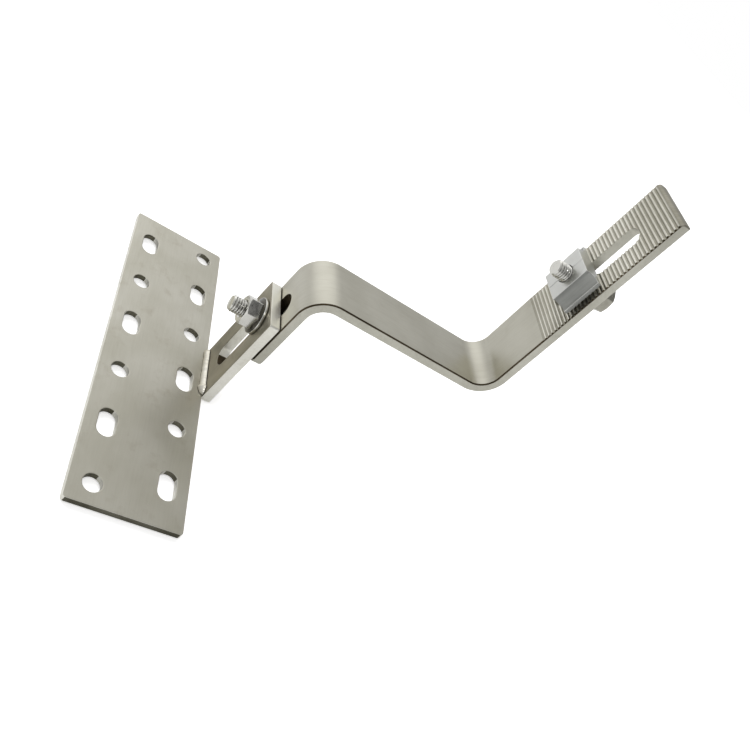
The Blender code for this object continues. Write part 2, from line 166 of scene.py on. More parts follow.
def setFinish(piece, finish):
    piece.data.materials.clear()
    piece.data.materials.append(finishes[finish])


def addFinish(piece, finish, test):
    # gives the faces that pass the test one more finish
    piece.data.materials.append(finishes[finish])
    editFaces(piece, test)
    piece.active_material_index = len(piece.data.materials) - 1
    bpy.ops.object.material_slot_assign()
    leaveEdit()


def handOver(piece, body, node):
    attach(piece, body)
    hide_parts(node)
    print("made", piece.name, len(piece.data.polygons), "faces")


def slotCutter(width, length, depth, place, turn=(0, 0, 0)):
    # a round punch, pulled apart along Y when the slot is longer than wide
    sides = roundSides["slot"]
    bpy.ops.mesh.primitive_cylinder_add(vertices=sides, radius=width / 2, depth=depth,
                                        rotation=(0, 0, math.pi / sides))
    punch = newest("punch")
    for side in (1, -1):
        editPoints(punch, lambda at: at.y * side > 0)
        bpy.ops.transform.translate(value=(0, side * (length - width) / 2, 0))
        leaveEdit()
    settle(punch, place, turn)
    return punch


# Effects shared by the metals

effects = {"lines": {"Scale": 1.0, "Detail": 4.0, "Roughness": 0.62},
           "drift": {"Scale": 34.0, "Detail": 3.0, "Roughness": 0.5},
           "pits": {"Scale": 1400.0, "Detail": 2.0, "Roughness": 0.5},
           "spots": {"Scale": 120.0, "Detail": 5.0, "Roughness": 0.65},
           "driftLevel": (0.36, 0.64), "spotLevel": (0.56, 0.74), "streakLevel": (0.42, 0.7),
           "glossLevel": (0.3, 0.7), "bumpHeight": 0.00006, "cornerSamples": 12}


def newGroup(name, inputs, outputs):
    group = bpy.data.node_groups.new(name, "ShaderNodeTree")
    for label, value in inputs.items():
        socket = group.interface.new_socket(label, in_out="INPUT", socket_type="NodeSocketFloat")
        socket.default_value = value
    for label in outputs:
        group.interface.new_socket(label, in_out="OUTPUT", socket_type="NodeSocketFloat")
    given = group.nodes.new("NodeGroupInput")
    result = group.nodes.new("NodeGroupOutput")
    return group, given.outputs, result.inputs


def newNode(nodes, kind, values={}, **settings):
    # a node with its settings and the values of its unlinked inputs
    node = nodes.new("ShaderNode" + kind)
    for name, setting in settings.items():
        setattr(node, name, setting)
    for label, value in values.items():
        node.inputs[label].default_value = value
    return node


def rangeNode(nodes, levels, results=(0.0, 1.0)):
    labels = ("From Min", "From Max", "To Min", "To Max")
    return newNode(nodes, "MapRange", dict(zip(labels, (*levels, *results))))


def tintNode(nodes, tint, blend="MIX"):
    # lays a colour over the one that comes in at A
    return newNode(nodes, "Mix", {"B": (*tint, 1.0)}, data_type="RGBA", blend_type=blend)


def rollingGrain():
    # fine lines drawn out along one axis, as rolling and brushing leave them
    group, given, result = newGroup(
        "rolling grain", {"Across X": 900.0, "Across Y": 900.0, "Across Z": 900.0}, ("Lines", "Drift"))
    link = group.links.new
    coords = newNode(group.nodes, "TexCoord")
    scale = newNode(group.nodes, "CombineXYZ")
    stretch = newNode(group.nodes, "VectorMath", operation="MULTIPLY")
    lines = newNode(group.nodes, "TexNoise", effects["lines"])
    drift = newNode(group.nodes, "TexNoise", effects["drift"])
    for axis in "XYZ":
        link(given["Across " + axis], scale.inputs[axis])
    link(coords.outputs["Object"], stretch.inputs[0])
    link(scale.outputs[0], stretch.inputs[1])
    link(stretch.outputs[0], lines.inputs["Vector"])
    link(coords.outputs["Object"], drift.inputs["Vector"])
    link(lines.outputs["Fac"], result["Lines"])
    link(drift.outputs["Fac"], result["Drift"])
    return group


def castSpeckle():
    # tiny pits and spots of handling, even in every direction
    group, given, result = newGroup(
        "speckle", {"Scale": effects["pits"]["Scale"], "Amount": 0.5}, ("Pits", "Spots"))
    link = group.links.new
    coords = newNode(group.nodes, "TexCoord")
    pits = newNode(group.nodes, "TexNoise", effects["pits"])
    spots = newNode(group.nodes, "TexNoise", effects["spots"])
    level = rangeNode(group.nodes, effects["spotLevel"])
    share = newNode(group.nodes, "Math", operation="MULTIPLY", use_clamp=True)
    link(coords.outputs["Object"], pits.inputs["Vector"])
    link(coords.outputs["Object"], spots.inputs["Vector"])
    link(given["Scale"], pits.inputs["Scale"])
    link(spots.outputs["Fac"], level.inputs["Value"])
    link(level.outputs["Result"], share.inputs[0])
    link(given["Amount"], share.inputs[1])
    link(pits.outputs["Fac"], result["Pits"])
    link(share.outputs[0], result["Spots"])
    return group


def creviceShade():
    # how deep a spot lies in its own piece's corners, for the painted shade there
    group, given, result = newGroup("crevice", {"Reach": 0.001, "Open": 0.85, "Closed": 0.4}, ("Depth",))
    link = group.links.new
    corner = newNode(group.nodes, "AmbientOcclusion", only_local=True, samples=effects["cornerSamples"])
    depth = newNode(group.nodes, "MapRange")
    link(given["Reach"], corner.inputs["Distance"])
    link(corner.outputs["AO"], depth.inputs["Value"])
    link(given["Open"], depth.inputs["From Min"])
    link(given["Closed"], depth.inputs["From Max"])
    link(depth.outputs["Result"], result["Depth"])
    return group


grainGroup = rollingGrain()
speckleGroup = castSpeckle()
creviceGroup = creviceShade()
print("surface effects ready")


def metalFinish(name, look):
    # one metal: two close colours drifting into each other, grain in gloss and relief, spots on top, and
    # painted shade in its corners where the look has a corner colour
    material = bpy.data.materials.new(name)
    material.use_nodes = True
    nodes = material.node_tree.nodes
    link = material.node_tree.links.new
    shader = nodes["Principled BSDF"]
    shader.inputs["Metallic"].default_value = 1.0
    across = {"Across " + axis: value for axis, value in zip("XYZ", look["grain"])}
    grain = newNode(nodes, "Group", across, node_tree=grainGroup)
    speckle = newNode(nodes, "Group", {"Scale": look["pitScale"], "Amount": look["spots"]},
                      node_tree=speckleGroup)
    drifting = newNode(nodes, "ValToRGB")
    for element, place, shade in zip(drifting.color_ramp.elements, effects["driftLevel"], ("dark", "light")):
        element.position = place
        element.color = (*look[shade], 1.0)
    streaked = tintNode(nodes, look["streak"], "MULTIPLY")
    streakLevel = rangeNode(nodes, effects["streakLevel"], (0.0, look["streaks"]))
    color = tintNode(nodes, look["spot"])
    link(grain.outputs["Drift"], drifting.inputs["Fac"])
    link(drifting.outputs["Color"], streaked.inputs["A"])
    link(grain.outputs["Lines"], streakLevel.inputs["Value"])
    link(streakLevel.outputs["Result"], streaked.inputs["Factor"])
    link(streaked.outputs["Result"], color.inputs["A"])
    link(speckle.outputs["Spots"], color.inputs["Factor"])
    # painted shade: the corners and hollows that ambient occlusion finds are darkened towards the look's
    # corner colour
    if "crevice" in look:
        reach = dict(zip(("Reach", "Open", "Closed"), look["crevice"]))
        crevice = newNode(nodes, "Group", reach, node_tree=creviceGroup)
        unshaded = color
        color = tintNode(nodes, look["cornerShade"])
        link(crevice.outputs["Depth"], color.inputs["Factor"])
        link(unshaded.outputs["Result"], color.inputs["A"])
    link(color.outputs["Result"], shader.inputs["Base Color"])
    gloss = rangeNode(nodes, effects["glossLevel"], look["roughness"])
    link(grain.outputs["Lines"], gloss.inputs["Value"])
    link(gloss.outputs["Result"], shader.inputs["Roughness"])
    relief = newNode(nodes, "Mix", {"Factor": look["pitShare"]})
    bump = newNode(nodes, "Bump", {"Strength": look["relief"], "Distance": effects["bumpHeight"]})
    link(grain.outputs["Lines"], relief.inputs["A"])
    link(speckle.outputs["Pits"], relief.inputs["B"])
    link(relief.outputs["Result"], bump.inputs["Height"])
    link(bump.outputs["Normal"], shader.inputs["Normal"])
    return material


# what several finishes have in common
punchedWall = {"grain": (300, 300, 2500), "streak": (0.6, 0.58, 0.54), "streaks": 0.5,
               "pitShare": 0.4, "relief": 0.4}
cutEdge = {"grain": (1200, 90, 1200), "streak": (0.84, 0.83, 0.8), "streaks": 0.35,
           "roughness": (0.38, 0.5), "pitScale": 1100, "pitShare": 0.5, "relief": 0.34}
armBar = {"grain": (90, 1700, 90), "pitScale": 1300, "pitShare": 0.4}
worked = {**armBar, "streak": (0.8, 0.78, 0.74), "streaks": 0.4}
turned = {"grain": (500, 500, 500), "pitShare": 0.5}
# painted shade in the corners of bolts and nuts
shadedCorners = {"crevice": (0.0013, 0.86, 0.5), "cornerShade": (0.012, 0.01, 0.007)}
profile = {"grain": (1500, 1500, 60), "pitScale": 1400, "pitShare": 0.35, "crevice": (0.0008, 0.75, 0.3)}

# the corner colour in a look is painted shade, laid where ambient occlusion finds corners and hollows
metals = {
    "sheet": {"grain": (1500, 90, 1500), "dark": (0.52, 0.505, 0.43), "light": (0.6, 0.585, 0.515),
              "streak": (0.88, 0.87, 0.85), "streaks": 0.22, "spot": (0.34, 0.3, 0.22), "spots": 0.3,
              "roughness": (0.36, 0.46), "pitScale": 1500, "pitShare": 0.5, "relief": 0.24},
    # painted light: the plate's hole walls and outer edges, far lighter than the top of the same sheet
    "litSides": {**punchedWall, "dark": (0.82, 0.81, 0.74), "light": (0.95, 0.94, 0.88),
                "spot": (0.2, 0.18, 0.14), "spots": 0.3, "roughness": (0.3, 0.45), "pitScale": 1500},
    # painted shade: the far wall of each of the plate's holes
    "wallShade": {**punchedWall, "dark": (0.1, 0.095, 0.065), "light": (0.24, 0.23, 0.18),
             "spot": (0.05, 0.04, 0.025), "spots": 0.4, "roughness": (0.35, 0.5), "pitScale": 1300},
    # painted shade: the bracket's broad faces, darker than the same steel elsewhere
    "bracket": {"grain": (1600, 1600, 90), "dark": (0.27, 0.255, 0.2), "light": (0.42, 0.39, 0.315),
                "streak": (0.8, 0.78, 0.74), "streaks": 0.4, "spot": (0.16, 0.13, 0.09), "spots": 0.28,
                "roughness": (0.33, 0.44), "pitScale": 1300, "pitShare": 0.45, "relief": 0.28},
    # painted light: the bracket's narrow edges, far lighter than its faces
    "litEdge": {**cutEdge, "dark": (0.86, 0.85, 0.77), "light": (0.97, 0.96, 0.89),
                 "spot": (0.5, 0.46, 0.38), "spots": 0.3},
    # painted light: the arm's sides and slot walls, lighter than its faces
    "litBarEdge": {**cutEdge, "dark": (0.52, 0.51, 0.44), "light": (0.64, 0.63, 0.555),
                "spot": (0.36, 0.33, 0.27), "spots": 0.25},
    "arm": {**armBar, "dark": (0.48, 0.466, 0.4), "light": (0.55, 0.537, 0.468),
            "streak": (0.86, 0.85, 0.82), "streaks": 0.32, "spot": (0.36, 0.33, 0.27), "spots": 0.2,
            "roughness": (0.31, 0.42), "relief": 0.26,
            "crevice": (0.0009, 0.8, 0.3), "cornerShade": (0.26, 0.24, 0.19)},
    # painted shade: the serrated zone, darker than the arm's plain face
    "groove": {**worked, "dark": (0.36, 0.345, 0.285), "light": (0.44, 0.425, 0.36),
               "spot": (0.24, 0.21, 0.16), "spots": 0.3, "roughness": (0.34, 0.46), "relief": 0.3,
               "crevice": (0.0009, 0.8, 0.3), "cornerShade": (0.24, 0.22, 0.17)},
    # painted highlight: the lands between the serration grooves
    "crest": {**worked, "dark": (0.66, 0.645, 0.57), "light": (0.82, 0.805, 0.73),
              "spot": (0.4, 0.37, 0.3), "spots": 0.2, "roughness": (0.28, 0.4), "relief": 0.26},
    # painted shade: the arm's rounded tip, darker and rougher to damp its highlight
    "shadedTip": {**armBar, "dark": (0.34, 0.325, 0.27), "light": (0.42, 0.4, 0.34),
               "streak": (0.7, 0.68, 0.62), "streaks": 0.5, "spot": (0.2, 0.17, 0.12), "spots": 0.3,
               "roughness": (0.45, 0.6), "relief": 0.4},
    # painted shade, near black, for the slot foot and the arm's foot slot, and a painted dark reflection
    # along one arris
    "paintedDark": {"grain": (300, 1700, 300), "dark": (0.045, 0.035, 0.02), "light": (0.125, 0.1, 0.065),
                "streak": (0.6, 0.57, 0.52), "streaks": 0.5, "spot": (0.03, 0.025, 0.018), "spots": 0.4,
                "roughness": (0.4, 0.55), "pitScale": 1300, "pitShare": 0.4, "relief": 0.4},
    "weld": {"grain": (500, 900, 500), "dark": (0.7, 0.67, 0.58), "light": (0.82, 0.795, 0.71),
             "streak": (0.9, 0.86, 0.79), "streaks": 0.25, "spot": (0.5, 0.42, 0.31), "spots": 0.28,
             "roughness": (0.28, 0.4), "pitScale": 900, "pitShare": 0.6, "relief": 0.3,
             "crevice": (0.0006, 0.7, 0.3), "cornerShade": (0.4, 0.34, 0.25)},
    "fastener": {**turned, **shadedCorners, "dark": (0.66, 0.655, 0.61), "light": (0.76, 0.755, 0.72),
                 "streak": (0.9, 0.9, 0.88), "streaks": 0.3, "spot": (0.46, 0.43, 0.37), "spots": 0.18,
                 "roughness": (0.1, 0.2), "pitScale": 1800, "relief": 0.12},
    # painted shade: the sloping top of a flange, near black
    "flangeShade": {**turned, "dark": (0.04, 0.036, 0.028), "light": (0.2, 0.19, 0.16),
                  "streak": (0.5, 0.48, 0.44), "streaks": 0.5, "spot": (0.05, 0.045, 0.035), "spots": 0.4,
                  "roughness": (0.14, 0.26), "pitScale": 1800, "relief": 0.2,
                  "crevice": (0.0024, 0.9, 0.55), "cornerShade": (0.01, 0.008, 0.006)},
    "bearing": {**turned, **shadedCorners, "dark": (0.36, 0.35, 0.3), "light": (0.46, 0.45, 0.39),
                "streak": (0.7, 0.68, 0.62), "streaks": 0.4, "spot": (0.2, 0.18, 0.13), "spots": 0.3,
                "roughness": (0.25, 0.4), "pitScale": 1500, "relief": 0.25},
    "extrusion": {**profile, "dark": (0.6, 0.605, 0.58), "light": (0.69, 0.695, 0.67),
                  "streak": (0.88, 0.88, 0.87), "streaks": 0.35, "spot": (0.44, 0.44, 0.42), "spots": 0.15,
                  "roughness": (0.28, 0.4), "relief": 0.26, "cornerShade": (0.06, 0.058, 0.05)},
    # painted shade: the clamp block's flanks, darker than its top
    "shadedFlank": {**profile, "dark": (0.27, 0.275, 0.26), "light": (0.36, 0.365, 0.345),
              "streak": (0.85, 0.85, 0.84), "streaks": 0.4, "spot": (0.18, 0.18, 0.17), "spots": 0.2,
              "roughness": (0.34, 0.46), "relief": 0.3, "cornerShade": (0.05, 0.048, 0.04)},
}
finishes = {name: metalFinish(name + " metal", look) for name, look in metals.items()}
print("metals ready:", sorted(finishes))


# Base plate: sheet with rolled-in rims at its punched holes

plate = {"corner": 0.0015, "cornerSteps": 5, "edge": 0.00025, "rim": 0.00045, "rimSteps": 4, "rimAngle": 50,
         "holeWidth": 0.008, "slotLength": 0.014, "margin": 0.00975, "farMargin": 0.02025, "rows": 6,
         "shadeFrom": 0.4}


def makePlate():
    low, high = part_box("base_plate")
    size = high - low
    middle = (low + high) / 2
    bpy.ops.mesh.primitive_cube_add(size=1, location=middle, scale=size)
    sheet = newest("screwPlate")
    bevelEdges(sheet, lambda a, b: abs(a.z - b.z) > size.z / 2, plate["corner"], plate["cornerSteps"])
    softenEdges(sheet, plate["edge"])
    pitch = (size.y - plate["margin"] - plate["farMargin"]) / (plate["rows"] - 1)
    for side in (1, -1):
        for row in range(plate["rows"]):
            length = plate["slotLength"] if row % 2 else plate["holeWidth"]
            across = side * (size.x / 2 - plate["margin"])
            along = side * (size.y / 2 - plate["margin"] - row * pitch)
            place = (across, along, middle.z)
            cut(sheet, slotCutter(plate["holeWidth"], length, size.z * cutterLength, place))

    def onShadedWall(at, normal):
        # the far part of each hole's wall, painted dark as the shade that falls into the hole
        outward = math.copysign(normal.x, normal.x * at.x)
        inHole = abs(normal.z) < edgeOn and at.y < high.y - plate["corner"]
        return inHole and normal.y < -plate["shadeFrom"] and outward < plate["shadeFrom"]

    setFinish(sheet, "sheet")
    # painted light on the plate's walls and edges
    addFinish(sheet, "litSides", lambda at, normal: abs(normal.z) < squarely)
    # painted shade on the far walls of the holes
    addFinish(sheet, "wallShade", onShadedWall)
    softenEdges(sheet, plate["rim"], segments=plate["rimSteps"], angle=plate["rimAngle"])
    smoothed(sheet)
    handOver(sheet, "base", "base_plate")


makePlate()


# Upright bracket: a length of flat bar on edge, slotted for the bolt

bracket = {"corner": 0.001, "cornerSteps": 5, "edge": 0.00035, "slotWidth": 0.011, "slotFoot": 0.0134,
           "slotHeadMargin": 0.005, "darkFrom": 0.82}


def makeBracket():
    low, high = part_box("upright_bracket")
    size = high - low
    middle = (low + high) / 2
    bpy.ops.mesh.primitive_cube_add(size=1, location=middle, scale=size)
    bar = newest("slottedBracket")
    bevelEdges(bar, lambda a, b: abs(a.x - b.x) > size.x / 2, bracket["corner"], bracket["cornerSteps"])
    slotLength = high.z - bracket["slotHeadMargin"] - bracket["slotFoot"]
    slotMiddle = bracket["slotFoot"] + slotLength / 2
    cut(bar, slotCutter(bracket["slotWidth"], slotLength, size.x * cutterLength,
                        (middle.x, 0, slotMiddle), acrossX))

    def onSlotFoot(at, normal):
        inSlot = abs(at.y) < bracket["slotWidth"] / 2 and at.z < slotMiddle
        return inSlot and normal.z > bracket["darkFrom"]

    # painted shade on the broad faces
    setFinish(bar, "bracket")
    # painted light on the narrow edges
    addFinish(bar, "litEdge", lambda at, normal: abs(normal.x) < edgeOn)
    # painted shade at the foot of the slot
    addFinish(bar, "paintedDark", onSlotFoot)
    softenEdges(bar, bracket["edge"])
    smoothed(bar)
    handOver(bar, "base", "upright_bracket")


makeBracket()


# Weld: drops of metal laid one over the next, melted together, trimmed to the corner they fill

weld = {"seed": 4, "drops": 34, "size": 0.0023, "endShare": 0.85, "uneven": (0.97, 1.04),
        "shape": (0.85, 0.62, 1.0), "margin": 0.8, "swell": 0.34, "swellAt": 0.07, "swellSpread": 0.05,
        "jitter": 0.0001, "voxel": 0.00022, "melting": 9, "softness": 0.5, "room": 0.01, "smoothAngle": 40}


def makeWeld():
    dice = random.Random(weld["seed"])
    low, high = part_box("weld_bead")
    drops = []
    for number in range(weld["drops"]):
        share = number / (weld["drops"] - 1)
        atEnd = min(share, 1 - share) * weld["drops"] < 1
        size = weld["size"] * (weld["endShare"] if atEnd else 1.0) * dice.uniform(*weld["uneven"])
        size *= 1 + weld["swell"] * math.exp(-((share - weld["swellAt"]) / weld["swellSpread"]) ** 2)
        margin = size * weld["margin"]
        along = low.y + margin + share * (high.y - low.y - margin * 2)
        across = high.x + dice.uniform(-1, 1) * weld["jitter"]
        up = low.z + dice.uniform(-1, 1) * weld["jitter"]
        bpy.ops.mesh.primitive_uv_sphere_add(segments=20, ring_count=12, radius=size, scale=weld["shape"],
                                             rotation=(0, math.radians(45), 0), location=(across, along, up))
        drops.append(newest("drop"))
    bead = joined(*drops)
    applied(bead, "REMESH", mode="VOXEL", voxel_size=weld["voxel"], use_smooth_shade=True)
    applied(bead, "SMOOTH", factor=weld["softness"], iterations=weld["melting"])
    room = Vector((weld["room"], high.y - low.y, weld["room"]))
    corner = Vector((high.x, (low.y + high.y) / 2, low.z))
    bpy.ops.mesh.primitive_cube_add(size=1, location=corner + Vector((-room.x, 0, room.z)) / 2, scale=room)
    cut(bead, newest("corner"), "INTERSECT")
    bead.name = "weldSeam"
    smoothed(bead, weld["smoothAngle"])
    setFinish(bead, "weld")
    handOver(bead, "base", "weld_bead")


makeWeld()


# Arm: one flat bar, bent up over and up again, slotted at both ends and serrated at the rail end

arm = {"thickness": 0.005, "rise": 0.046, "reach": 0.106, "top": 0.117, "lean": math.radians(3.3),
       "bend": 0.009, "bendSteps": 28, "edge": 0.0006, "edgeAngle": 50, "footCorner": 0.004, "footSteps": 10,
       "tipRound": 0.002, "tipSteps": 8, "footSlotWidth": 0.011, "footSlotMargin": 0.007,
       "footSlotLength": 0.0257, "railSlotWidth": 0.009, "railSlotMargin": 0.017, "railSlotLength": 0.0485}
teeth = {"pitch": 0.002, "depth": 0.0005, "crest": 0.0006, "root": 0.0004, "first": 0.003, "count": 38,
         "fading": 4, "burr": 0.00012, "burrSteps": 2, "burrAngle": 38, "proud": 0.0002, "overrun": 0.004}
armLow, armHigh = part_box("hook_arm")
upward = Vector((-math.sin(arm["lean"]), 0, math.cos(arm["lean"])))   # along the leaning end
backward = Vector((math.cos(arm["lean"]), 0, math.sin(arm["lean"])))  # through it, away from the roof side
innerCorner = Vector((armLow.x + arm["reach"] - arm["thickness"], 0,
                      armLow.z + arm["rise"] + arm["thickness"]))
armTip = innerCorner + upward * arm["top"]
leaning = (0, -arm["lean"], 0)


def onArmTop(along, through=0.0):
    return armTip + upward * along + backward * through


def toothCutter(depth, place, turn):
    # a wedge on Y: its mouth just proud of the face at X = 0, its narrower root in the metal
    mouth = teeth["pitch"] - teeth["crest"]
    spread = mouth + (mouth - teeth["root"]) * teeth["proud"] / depth
    width = armHigh.y - armLow.y + teeth["overrun"]
    bpy.ops.mesh.primitive_cube_add(size=1, location=((depth - teeth["proud"]) / 2, 0, 0),
                                    scale=(depth + teeth["proud"], width, spread))
    wedge = newest("wedge")
    editFaces(wedge, lambda at, normal: normal.x > squarely)
    bpy.ops.transform.resize(value=(1, 1, teeth["root"] / spread))
    leaveEdit()
    settle(wedge, place, turn)
    return wedge


def armGroove(number):
    fade = min(1.0, (teeth["count"] - number) / (teeth["fading"] + 1))
    place = onArmTop(-teeth["first"] - number * teeth["pitch"])
    return toothCutter(teeth["depth"] * fade, place, leaning)


def burrEdges(piece):
    softenEdges(piece, teeth["burr"], segments=teeth["burrSteps"], angle=teeth["burrAngle"])


# Where on the arm each finish lies

armZones = {"side": 0.7, "tilt": 0.15, "outerSide": -0.985, "crestFacing": 0.8, "fadedCrest": 0.00002,
            "endward": 0.1, "rootMargin": 1.2, "arrisMargin": 1.2, "slotMargin": 0.0003, "slotFoot": 0.002,
            "skin": 0.0001}


def belowTip(at):
    return (armTip - at).dot(upward)


def intoArm(at):
    return (at - armTip).dot(backward)


def inTeeth(at):
    end = teeth["first"] + teeth["count"] * teeth["pitch"]
    return arm["tipRound"] < belowTip(at) < end and intoArm(at) < teeth["depth"] * armZones["rootMargin"]


def onGroove(at, normal):
    return inTeeth(at) and abs(normal.y) < armZones["tilt"]


def onCrest(at, normal):
    # the lands between the grooves, down to their burred edges where the grooves are full, with a painted
    # highlight
    full = belowTip(at) < teeth["first"] + (teeth["count"] - teeth["fading"]) * teeth["pitch"]
    deepest = teeth["burr"] if full else armZones["fadedCrest"]
    return onGroove(at, normal) and intoArm(at) < deepest and normal.dot(backward) < -armZones["crestFacing"]


def onDarkArris(at, normal):
    # one arris of the worked face, with a painted dark reflection along it
    if at.y > armLow.y + arm["edge"] * armZones["arrisMargin"]:
        return False
    slanted = armZones["outerSide"] < normal.y < -armZones["tilt"]
    slanted = slanted and normal.z - normal.x > armZones["endward"]
    return slanted or (inTeeth(at) and abs(normal.y) < squarely)


def onFootSlot(at, normal):
    inBar = at.x < armLow.x + arm["thickness"] + armZones["skin"] and at.z > armLow.z + armZones["slotFoot"]
    inSlot = abs(at.y) < arm["footSlotWidth"] / 2 + armZones["slotMargin"]
    return inBar and inSlot and abs(normal.x) < edgeOn


def onRoundedTip(at, normal):
    endward = armZones["outerSide"] < normal.y and normal.dot(upward) > armZones["endward"]
    return endward and belowTip(at) < arm["tipRound"]


def makeArm():
    thick = arm["thickness"]
    bend = arm["bend"]
    width = armHigh.y - armLow.y
    firstLength = arm["rise"] - bend
    start = Vector((armLow.x + thick / 2, 0, armLow.z + firstLength / 2))
    bpy.ops.mesh.primitive_cube_add(size=1, location=start, scale=(thick, width, firstLength))
    bar = newest("bentArm")
    bevelEdges(bar, lambda a, b: abs(a.x - b.x) > thick / 2 and a.z < start.z,
               arm["footCorner"], arm["footSteps"])
    lowCenter = Vector((armLow.x + thick + bend, 0, armLow.z + firstLength))
    highCenter = innerCorner + Vector((-bend * (1 + math.sin(arm["lean"])) / math.cos(arm["lean"]), 0, bend))
    steps = arm["bendSteps"]
    editFaces(bar, lambda at, normal: normal.z > squarely)
    bpy.ops.mesh.spin(steps=steps, angle=-math.pi / 2, center=lowCenter, axis=(0, 1, 0))
    bpy.ops.mesh.extrude_region_move(TRANSFORM_OT_translate={"value": (highCenter.x - lowCenter.x, 0, 0)})
    bpy.ops.mesh.spin(steps=steps, angle=math.pi / 2 + arm["lean"], center=highCenter, axis=(0, 1, 0))
    straight = arm["top"] - (highCenter - innerCorner).dot(upward)
    bpy.ops.mesh.extrude_region_move(TRANSFORM_OT_translate={"value": upward * straight})
    leaveEdit()

    def onTipEdge(a, b):
        across = abs(a.y - b.y) > width / 2
        return across and (a - armTip).length < width * 0.6 and abs(intoArm(a)) < thick / 2

    bevelEdges(bar, onTipEdge, arm["tipRound"], arm["tipSteps"])
    editFaces(bar, lambda at, normal: True)
    bpy.ops.mesh.normals_make_consistent(inside=False)
    leaveEdit()
    softenEdges(bar, arm["edge"], angle=arm["edgeAngle"])
    footSlot = Vector((armLow.x + thick / 2, 0, armLow.z + arm["footSlotMargin"] + arm["footSlotLength"] / 2))
    depth = thick * cutterLength
    cut(bar, slotCutter(arm["footSlotWidth"], arm["footSlotLength"], depth, footSlot, acrossX))
    railSlot = slotCutter(arm["railSlotWidth"], arm["railSlotLength"], depth, (0, 0, 0), acrossX)
    settle(railSlot, onArmTop(-arm["railSlotMargin"] - arm["railSlotLength"] / 2, thick / 2), leaning)
    cut(bar, railSlot)
    cut(bar, joined(*[armGroove(number) for number in range(teeth["count"])]))
    burrEdges(bar)
    setFinish(bar, "arm")
    # painted light on the sides and slot walls
    addFinish(bar, "litBarEdge", lambda at, normal: abs(normal.y) > armZones["side"])
    # painted shade over the serrated zone
    addFinish(bar, "groove", onGroove)
    # painted highlight on the lands between the grooves
    addFinish(bar, "crest", onCrest)
    # painted dark reflection along one arris, painted shade on the foot slot's walls
    addFinish(bar, "paintedDark", lambda at, normal: onDarkArris(at, normal) or onFootSlot(at, normal))
    # painted shade on the rounded tip
    addFinish(bar, "shadedTip", onRoundedTip)
    smoothed(bar)
    handOver(bar, "arm", "hook_arm")


makeArm()


# Clamp block: an extruded length with hollowed flanks, scribed top and toothed underside

clamp = {"fromTip": 0.051, "headGap": 0.0044, "lift": 0.0013, "length": 0.02, "height": 0.0076,
         "topWidth": 0.016, "footWidth": 0.026, "foot": 0.002, "flare": 0.0044, "edge": 0.00028,
         "edgeAngle": 30, "scribeWidth": 0.0007, "scribeDepth": 0.0004, "bore": 0.0043, "flankFrom": 0.15}


def makeClamp():
    # upright at the origin: teeth down, length along X, the flanks to +Y and -Y
    length = clamp["length"]
    height = clamp["height"]
    wide = clamp["footWidth"]
    reach = (wide - clamp["topWidth"]) / 2
    bpy.ops.mesh.primitive_cube_add(size=1, location=(0, 0, height / 2), scale=(length, wide, height))
    block = newest("toothedClamp")
    squeeze = clamp["flare"] / reach
    through = length * 1.5
    for side in (1, -1):
        hollow = slotCutter(reach * 2, reach * 2 + height * 4, through, (0, 0, 0), acrossX)
        hollow.scale = (1, 1, squeeze)
        hollow.location = (0, side * wide / 2, clamp["foot"] + clamp["flare"] + height * 2 * squeeze)
        cut(block, placed(hollow))
    setFinish(block, "extrusion")
    # painted shade on the flanks
    addFinish(block, "shadedFlank", lambda at, normal: abs(normal.y) > clamp["flankFrom"])
    softenEdges(block, clamp["edge"], angle=clamp["edgeAngle"])
    # a square rod lying on its corner cuts the scribed line
    bpy.ops.mesh.primitive_cylinder_add(vertices=4, radius=0.5, depth=1, rotation=acrossX)
    scribe = newest("scribe")
    scribe.scale = (through, clamp["scribeWidth"], clamp["scribeDepth"] * 2)
    settle(scribe, (0, 0, height), (0, 0, 0))
    cut(block, scribe)
    count = round(length / teeth["pitch"])
    grooves = []
    for number in range(count):
        place = ((number - (count - 1) / 2) * teeth["pitch"], 0, 0)
        grooves.append(toothCutter(teeth["depth"], place, (0, -math.pi / 2, 0)))
    cut(block, joined(*grooves))
    bpy.ops.mesh.primitive_cylinder_add(vertices=roundSides["bore"], radius=clamp["bore"], depth=height * 3)
    cut(block, newest("bore"))
    burrEdges(block)
    smoothed(block)
    settle(block, onArmTop(-clamp["fromTip"], -clamp["lift"]), (0, -math.pi / 2 - arm["lean"], 0))
    handOver(block, "clamp", "rail_clamp")


makeClamp()


# Fasteners: hexagons with a sloping flange, a domed head, and shanks with a rolled thread

fastener = {"acrossFlats": 0.013, "height": 0.008, "edge": 0.0003, "crownShare": 0.95,
            "crownAngle": math.radians(30), "flange": 0.0179, "flangeRim": 0.0011, "rimEdge": 0.0002,
            "edgeSteps": 3, "flangeSlope": math.radians(22), "slopeFacing": (0.89, 0.96), "slopeShare": 0.7,
            "smoothAngle": 30, "bore": 0.0041, "boreChamfer": 0.0005}
dome = {"width": 0.02, "height": 0.0046, "rim": 0.0007, "rings": 160, "rimAngle": 50, "neck": 0.0083,
        "neckDepth": 0.0044, "neckEdge": 0.0005, "neckSteps": 4, "weldWithin": 0.000004}
shank = {"diameter": 0.008, "length": 0.025, "pitch": 0.00125, "threadDepth": 0.00062, "rings": 16,
         "crestWidth": 0.8, "endChamfer": 0.0009, "endDepth": 1.2, "endRim": 0.35, "endDish": 0.3,
         "dimple": 0.0004}


